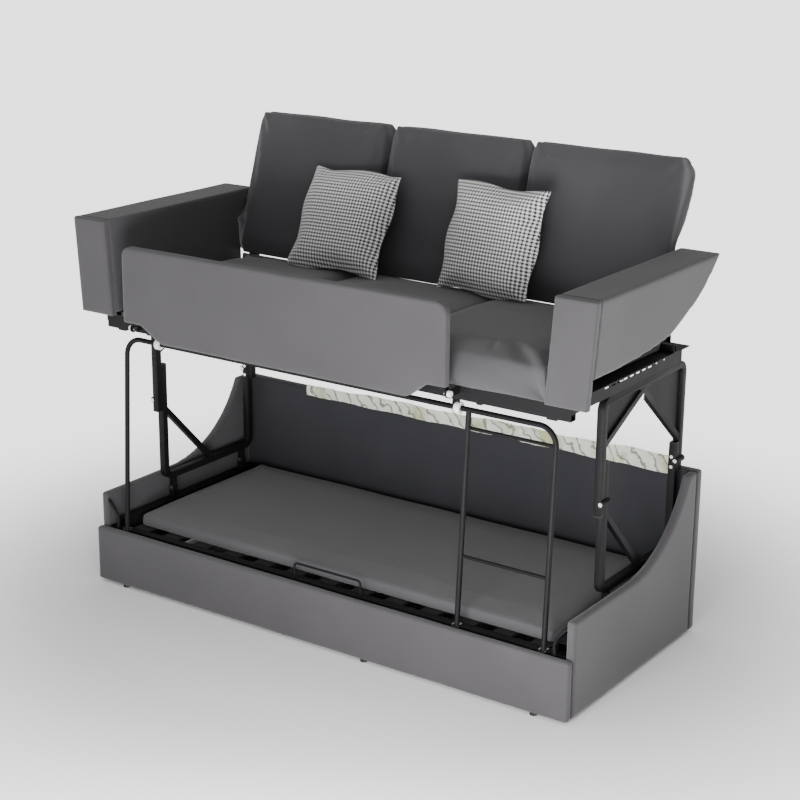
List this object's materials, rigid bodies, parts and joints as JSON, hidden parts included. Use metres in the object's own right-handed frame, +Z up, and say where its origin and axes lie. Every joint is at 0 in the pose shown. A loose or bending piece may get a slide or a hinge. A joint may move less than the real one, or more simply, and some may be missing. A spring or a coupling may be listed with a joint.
{
  "type": "bed",
  "caption": "Sofa that unfolds into a bunk bed: padded seat with arms and guard panel on book-folding steel end frames, wire ladder, low upholstered base with a mattress.",
  "frame": {"origin": "on the floor, under the middle of the object's bounding box", "axes": "+X to the right along the length, +Y from the front to the rear, +Z up"},
  "size_m": [2.096, 0.9718, 1.6571],
  "materials": {
    "grey_cover": "fine matt weave over thin foam on board",
    "grey_cushion_cover": "fine matt weave",
    "dark_cushion_cover": "fine matt weave, darker",
    "dark_lining": "fine matt weave, darker",
    "ticking": "thin cotton, cream with grey lines",
    "houndstooth": "black and white woven check",
    "black_steel": "satin black powder coat",
    "zinc_steel": "bright zinc plate",
    "white_plastic": "moulded nylon",
    "black_plastic": "moulded",
    "slat_wood": "bare plywood"
  },
  "bodies": {
    "base": {"base_front_board": "grey_cover", "base_side_right": "grey_cover", "base_side_left": "grey_cover", "base_back_panel": "grey_cover", "floor_glides": "black_plastic", "lower_front_rail": "black_steel", "lower_rear_rail": "black_steel", "lower_end_rail_right": "black_steel", "lower_end_rail_left": "black_steel", "lower_slats": "slat_wood", "lower_mattress": "grey_cushion_cover", "mattress_stop_loop": "black_steel", "corner_bars": "black_steel", "ladder_foot_clips": "zinc_steel", "base_hinge_pins": "zinc_steel", "back_lining": "dark_lining", "lining_strip": "ticking"},
    "left_lower_frame": {"left_lower_frame": "black_steel", "left_lower_caps": "black_plastic", "left_knee_pins": "zinc_steel"},
    "left_upper_frame": {"left_upper_frame": "black_steel", "left_gussets": "black_steel", "left_upper_caps": "black_plastic", "left_apex_bolts": "zinc_steel"},
    "right_lower_frame": {"right_lower_frame": "black_steel", "right_lower_caps": "black_plastic", "right_knee_pins": "zinc_steel"},
    "right_upper_frame": {"right_upper_frame": "black_steel", "right_gussets": "black_steel", "right_upper_caps": "black_plastic", "right_apex_bolts": "zinc_steel"},
    "seat": {"seat_front_rail": "black_steel", "seat_rear_rail": "black_steel", "seat_end_rail_right": "black_steel", "seat_end_rail_left": "black_steel", "seat_slats": "slat_wood", "seat_hinge_pins": "zinc_steel", "backrest_bars": "black_steel", "backrest_posts": "black_steel", "seat_cushion": "grey_cushion_cover", "back_cushion_left": "dark_cushion_cover", "back_cushion_middle": "dark_cushion_cover", "back_cushion_right": "dark_cushion_cover", "throw_pillow_left": "houndstooth", "throw_pillow_right": "houndstooth", "arm_right": "grey_cover", "arm_left": "grey_cover", "arm_front_board_right": "grey_cover", "arm_front_board_left": "grey_cover", "guard_brackets": "black_steel", "guard_pins": "zinc_steel", "guard_caps": "white_plastic", "ladder_plates": "black_steel", "ladder_bushings": "white_plastic"},
    "guard": {"guard_panel": "grey_cover", "guard_lugs": "black_steel"},
    "ladder": {"ladder_hoop": "black_steel", "ladder_rail": "black_steel", "ladder_rungs": "black_steel", "ladder_tips": "black_plastic"}
  },
  "joints": [
    {"name": "left_lower_fold", "type": "hinge", "parent": "base", "child": "left_lower_frame", "pos_m": [-0.932, 0.09456, 0.281], "axis": [0, 1, 0], "range_deg": [0, 90]},
    {"name": "left_knee_fold", "type": "hinge", "parent": "left_lower_frame", "child": "left_upper_frame", "pos_m": [-0.945, 0.09456, 0.646], "axis": [0, 1, 0], "range_deg": [-180, 0]},
    {"name": "seat_top_fold", "type": "hinge", "parent": "left_upper_frame", "child": "seat", "pos_m": [-0.932, 0.09456, 1.011], "axis": [0, 1, 0], "range_deg": [0, 90]},
    {"name": "right_lower_fold", "type": "hinge", "parent": "base", "child": "right_lower_frame", "pos_m": [0.932, 0.09456, 0.281], "axis": [0, 1, 0], "range_deg": [-90, 0]},
    {"name": "right_knee_fold", "type": "hinge", "parent": "right_lower_frame", "child": "right_upper_frame", "pos_m": [0.945, 0.09456, 0.646], "axis": [0, 1, 0], "range_deg": [0, 180]},
    {"name": "ladder_swing", "type": "hinge", "parent": "seat", "child": "ladder", "pos_m": [0, -0.37694, 0.937], "axis": [1, 0, 0], "range_deg": [-90, 0]},
    {"name": "guard_flip", "type": "hinge", "parent": "seat", "child": "guard", "pos_m": [0, -0.47194, 1.01], "axis": [1, 0, 0], "range_deg": [0, 180]}
  ],
  "couplings": [
    {"joint": "left_knee_fold", "follows": "left_lower_fold", "ratio": -2},
    {"joint": "seat_top_fold", "follows": "left_lower_fold", "ratio": 1},
    {"joint": "right_lower_fold", "follows": "left_lower_fold", "ratio": -1},
    {"joint": "right_knee_fold", "follows": "left_lower_fold", "ratio": 2},
    {"joint": "ladder_swing", "follows": "left_lower_fold", "ratio": -1}
  ]
}
